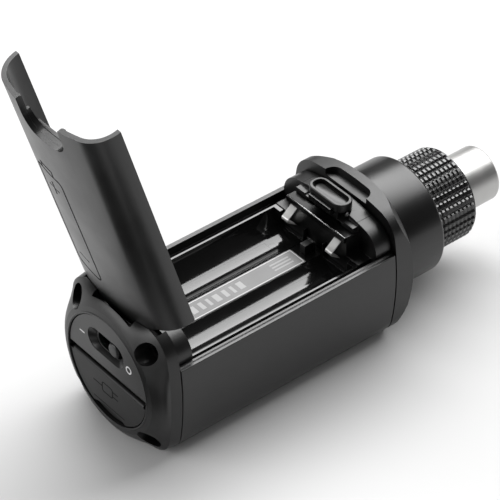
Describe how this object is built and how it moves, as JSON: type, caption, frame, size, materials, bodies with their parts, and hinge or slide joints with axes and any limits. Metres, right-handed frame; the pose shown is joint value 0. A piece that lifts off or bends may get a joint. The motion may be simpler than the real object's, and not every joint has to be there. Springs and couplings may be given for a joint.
{
  "type": "plug-on wireless transmitter",
  "caption": "Rounded-square audio transmitter body with an XLR plug nose, knurled locking ring and a long hinged battery door standing open.",
  "frame": {"origin": "on the plug nose's axis, in the front face of the locking ring, where the microphone seats", "axes": "+X out of the plug nose, +Z towards the battery door side, +Y completing a right-handed frame"},
  "size_m": [0.1429, 0.0416, 0.1104],
  "materials": {
    "black_anodised": "satin black coating on extruded aluminium",
    "cast_black": "fine matte black powder coat on die casting",
    "moulded_black": "fine textured black moulding",
    "bay_black": "semi-gloss black moulding",
    "rubber_black": "soft matte black",
    "knurled_black": "black anodised, worn bright on the knurl tips",
    "satin_nickel": "satin nickel plate",
    "bright_contact": "bright nickel-plated spring metal",
    "black_steel": "blackened steel",
    "spring_steel": "drawn wire",
    "gold_contact": "gold flash",
    "label_grey": "printed foil",
    "board_green": "solder mask",
    "chip_black": "moulded epoxy",
    "clear_window": "smoked clear window",
    "display_dark": "dark display glass",
    "lens_white": "frosted light pipe"
  },
  "bodies": {
    "body": {"tube_body": "black_anodised", "end_cap": "cast_black", "cap_screws": "black_steel", "panel_base": "moulded_black", "control_panel": "moulded_black", "usb_receptacle": "bright_contact", "switch_board": "board_green", "hinge_pin": "spring_steel", "battery_tray": "bay_black", "tray_label": "label_grey", "hinge_bulkhead": "moulded_black", "rear_contacts": "bright_contact", "latch_housing": "moulded_black", "latch_spring": "spring_steel", "retainer_plates": "black_steel", "contact_leaf_left": "bright_contact", "contact_leaf_right": "bright_contact", "bay_divider": "moulded_black", "front_collar": "cast_black", "barrel": "black_anodised", "xlr_nose": "satin_nickel", "xlr_insert": "bay_black", "xlr_sockets": "gold_contact", "nose_seal": "rubber_black", "main_board": "board_green", "rf_shield": "bright_contact", "processor": "chip_black", "display_module": "display_dark", "display_window": "clear_window", "status_lens": "lens_white"},
    "door": {"door_shell": "moulded_black", "door_strike": "moulded_black"},
    "latch": {"latch_button": "moulded_black", "latch_tongue": "moulded_black"},
    "power_slider": {"power_switch": "moulded_black"},
    "port_flap": {"port_cover": "rubber_black"},
    "lock_ring": {"locking_ring": "knurled_black"},
    "menu_button": {"menu_key": "rubber_black"},
    "set_button": {"set_key": "rubber_black"}
  },
  "joints": [
    {"name": "door_hinge", "type": "hinge", "parent": "body", "child": "door", "pos_m": [-0.10864, 0, 0.01832], "axis": [0, 1, 0], "range_deg": [0, 106.6]},
    {"name": "latch_slide", "type": "slide", "parent": "body", "child": "latch", "axis": [1, 0, 0], "range_m": [0, 0.0016], "stiffness_N_per_m": 900, "deforming": ["latch_spring"]},
    {"name": "power_slide", "type": "slide", "parent": "body", "child": "power_slider", "axis": [0, 1, 0], "range_m": [0, 0.004]},
    {"name": "port_flap_hinge", "type": "hinge", "parent": "body", "child": "port_flap", "pos_m": [-0.11285, 0, -0.0024], "axis": [0, 1, 0], "range_deg": [0, 100], "stiffness_Nm_per_rad": 0.002},
    {"name": "ring_turn", "type": "hinge", "parent": "body", "child": "lock_ring", "pos_m": [-0.007, 0, 0], "axis": [1, 0, 0], "continuous": true},
    {"name": "menu_press", "type": "slide", "parent": "body", "child": "menu_button", "axis": [0, 0, 1], "range_m": [0, 0.0005], "stiffness_N_per_m": 1500},
    {"name": "set_press", "type": "slide", "parent": "body", "child": "set_button", "axis": [0, 0, 1], "range_m": [0, 0.0005], "stiffness_N_per_m": 1500}
  ]
}
